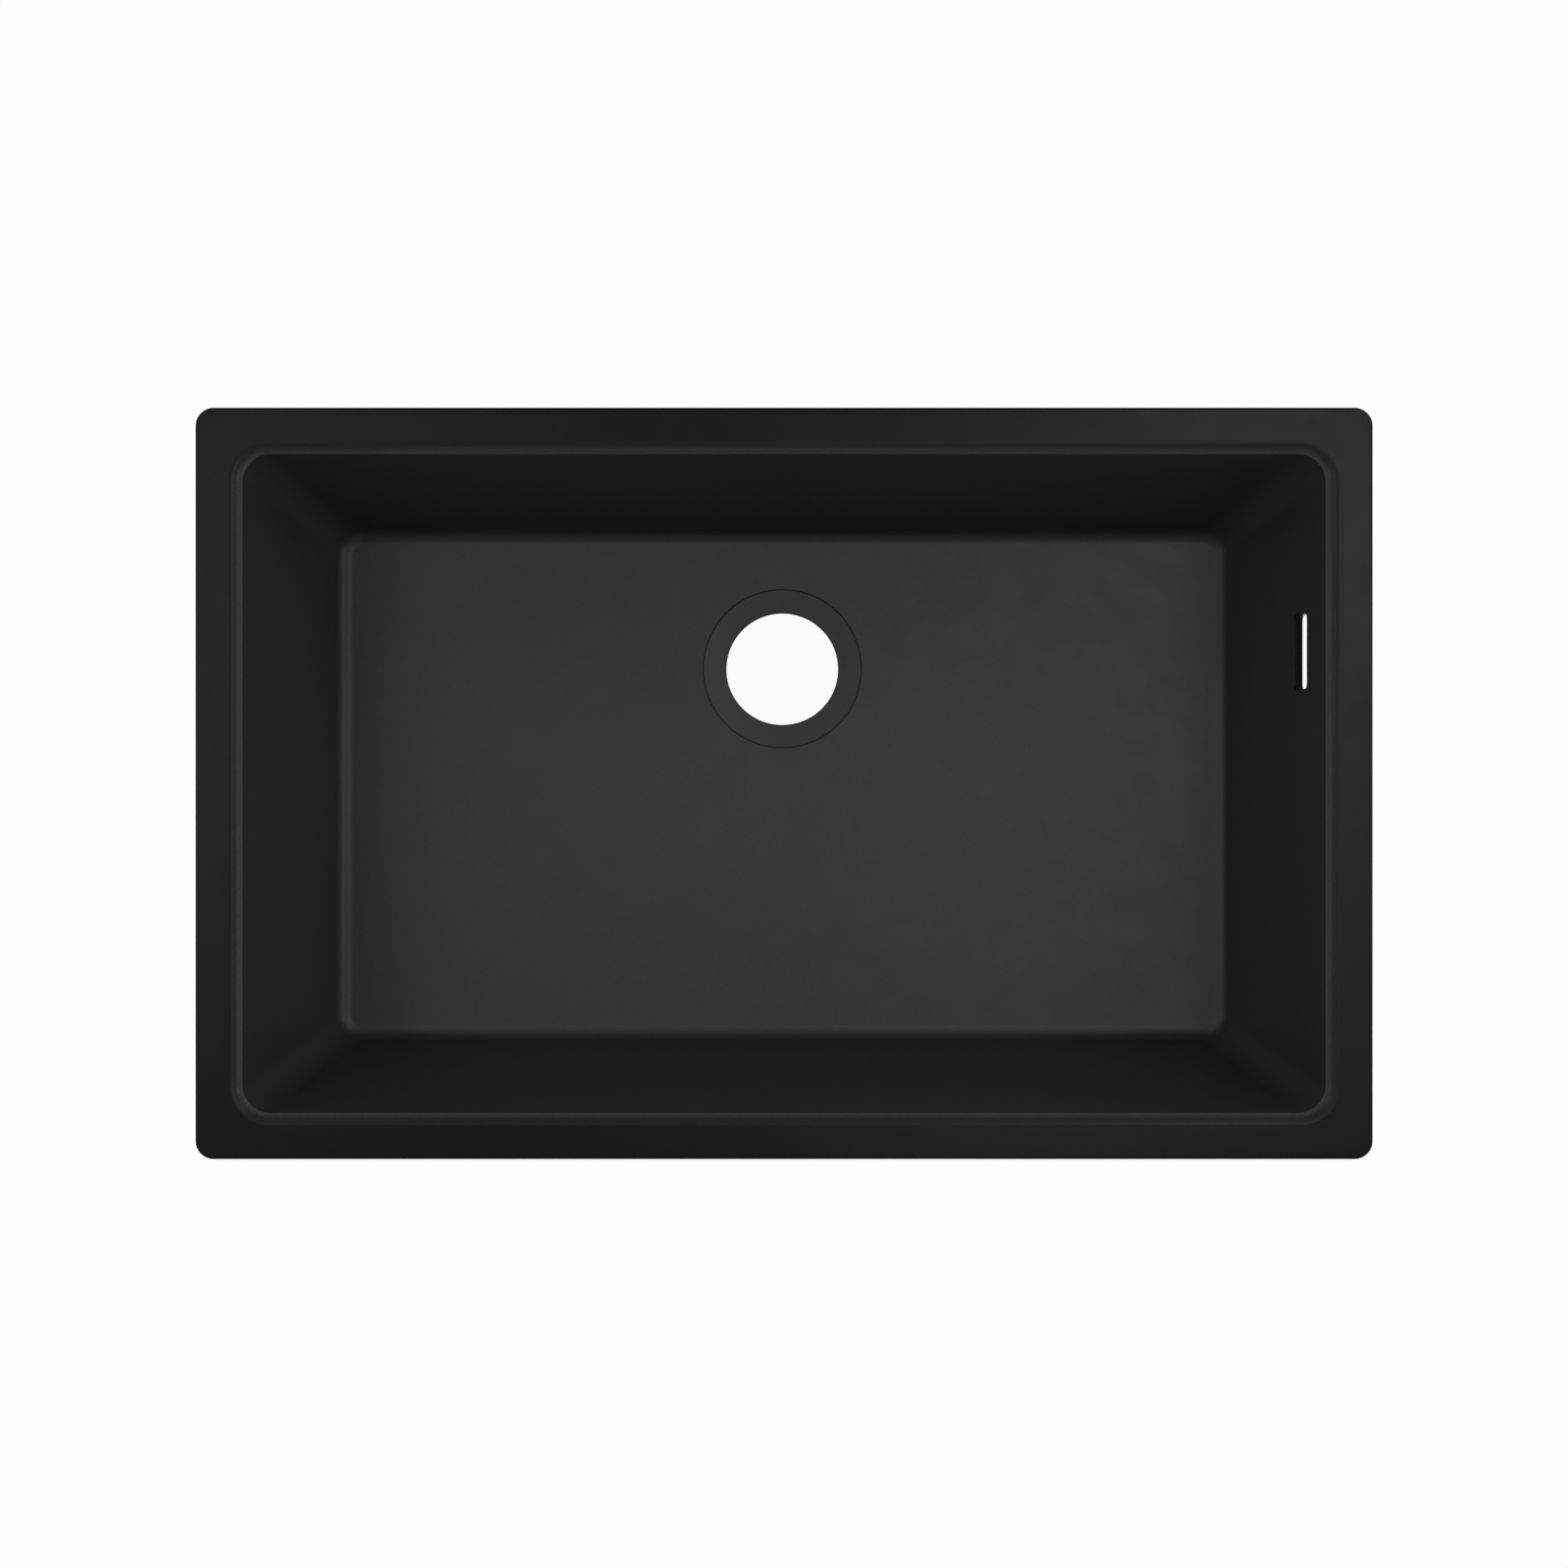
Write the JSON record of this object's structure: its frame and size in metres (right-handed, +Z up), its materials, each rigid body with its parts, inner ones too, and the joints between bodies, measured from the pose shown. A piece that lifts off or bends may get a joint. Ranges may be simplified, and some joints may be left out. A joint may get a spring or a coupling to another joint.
{
  "type": "undermount kitchen sink",
  "caption": "Undermount kitchen sink: one deep bowl in black stone composite with drafted walls, a drain hole, an overflow and swing-out fixing lugs under its rim.",
  "frame": {"origin": "centre of the sink's plan, on the plane of its foot pads", "axes": "+X to the user's right, along the longest side and towards the overflow; +Y to the back, towards the drain; +Z up"},
  "size_m": [0.838, 0.535, 0.23],
  "materials": {
    "stone_composite": "matte",
    "brass": "satin",
    "nylon": "satin",
    "zinc_plated_steel": "satin",
    "spring_steel": "satin"
  },
  "bodies": {
    "sink": {"bowl": "stone_composite", "insert_front_left": "brass", "slip_washer_front_left": "nylon", "spring_washer_front_left": "spring_steel", "bolt_front_left": "zinc_plated_steel", "insert_front_middle": "brass", "slip_washer_front_middle": "nylon", "spring_washer_front_middle": "spring_steel", "bolt_front_middle": "zinc_plated_steel", "insert_front_right": "brass", "slip_washer_front_right": "nylon", "spring_washer_front_right": "spring_steel", "bolt_front_right": "zinc_plated_steel", "insert_right_front": "brass", "slip_washer_right_front": "nylon", "spring_washer_right_front": "spring_steel", "bolt_right_front": "zinc_plated_steel", "insert_right_back": "brass", "slip_washer_right_back": "nylon", "spring_washer_right_back": "spring_steel", "bolt_right_back": "zinc_plated_steel", "insert_back_left": "brass", "slip_washer_back_left": "nylon", "spring_washer_back_left": "spring_steel", "bolt_back_left": "zinc_plated_steel", "insert_back_middle": "brass", "slip_washer_back_middle": "nylon", "spring_washer_back_middle": "spring_steel", "bolt_back_middle": "zinc_plated_steel", "insert_back_right": "brass", "slip_washer_back_right": "nylon", "spring_washer_back_right": "spring_steel", "bolt_back_right": "zinc_plated_steel", "insert_left_front": "brass", "slip_washer_left_front": "nylon", "spring_washer_left_front": "spring_steel", "bolt_left_front": "zinc_plated_steel", "insert_left_back": "brass", "slip_washer_left_back": "nylon", "spring_washer_left_back": "spring_steel", "bolt_left_back": "zinc_plated_steel"},
    "lug_front_left": {"lug_front_left": "zinc_plated_steel"},
    "lug_front_middle": {"lug_front_middle": "zinc_plated_steel"},
    "lug_front_right": {"lug_front_right": "zinc_plated_steel"},
    "lug_right_front": {"lug_right_front": "zinc_plated_steel"},
    "lug_right_back": {"lug_right_back": "zinc_plated_steel"},
    "lug_back_left": {"lug_back_left": "zinc_plated_steel"},
    "lug_back_middle": {"lug_back_middle": "zinc_plated_steel"},
    "lug_back_right": {"lug_back_right": "zinc_plated_steel"},
    "lug_left_front": {"lug_left_front": "zinc_plated_steel"},
    "lug_left_back": {"lug_left_back": "zinc_plated_steel"}
  },
  "joints": [
    {"name": "lug_front_left_swing", "type": "hinge", "parent": "sink", "child": "lug_front_left", "pos_m": [-0.27, -0.255, 0.2027], "axis": [0, 0, 1], "range_deg": [0, 90]},
    {"name": "lug_front_middle_swing", "type": "hinge", "parent": "sink", "child": "lug_front_middle", "pos_m": [0, -0.255, 0.2027], "axis": [0, 0, 1], "range_deg": [0, 90]},
    {"name": "lug_front_right_swing", "type": "hinge", "parent": "sink", "child": "lug_front_right", "pos_m": [0.27, -0.255, 0.2027], "axis": [0, 0, 1], "range_deg": [0, 90]},
    {"name": "lug_right_front_swing", "type": "hinge", "parent": "sink", "child": "lug_right_front", "pos_m": [0.4065, -0.17, 0.2027], "axis": [0, 0, 1], "range_deg": [0, 90]},
    {"name": "lug_right_back_swing", "type": "hinge", "parent": "sink", "child": "lug_right_back", "pos_m": [0.4065, 0.17, 0.2027], "axis": [0, 0, 1], "range_deg": [0, 90]},
    {"name": "lug_back_left_swing", "type": "hinge", "parent": "sink", "child": "lug_back_left", "pos_m": [-0.27, 0.255, 0.2027], "axis": [0, 0, 1], "range_deg": [0, 90]},
    {"name": "lug_back_middle_swing", "type": "hinge", "parent": "sink", "child": "lug_back_middle", "pos_m": [0, 0.255, 0.2027], "axis": [0, 0, 1], "range_deg": [0, 90]},
    {"name": "lug_back_right_swing", "type": "hinge", "parent": "sink", "child": "lug_back_right", "pos_m": [0.27, 0.255, 0.2027], "axis": [0, 0, 1], "range_deg": [0, 90]},
    {"name": "lug_left_front_swing", "type": "hinge", "parent": "sink", "child": "lug_left_front", "pos_m": [-0.4065, -0.17, 0.2027], "axis": [0, 0, 1], "range_deg": [0, 90]},
    {"name": "lug_left_back_swing", "type": "hinge", "parent": "sink", "child": "lug_left_back", "pos_m": [-0.4065, 0.17, 0.2027], "axis": [0, 0, 1], "range_deg": [0, 90]}
  ]
}
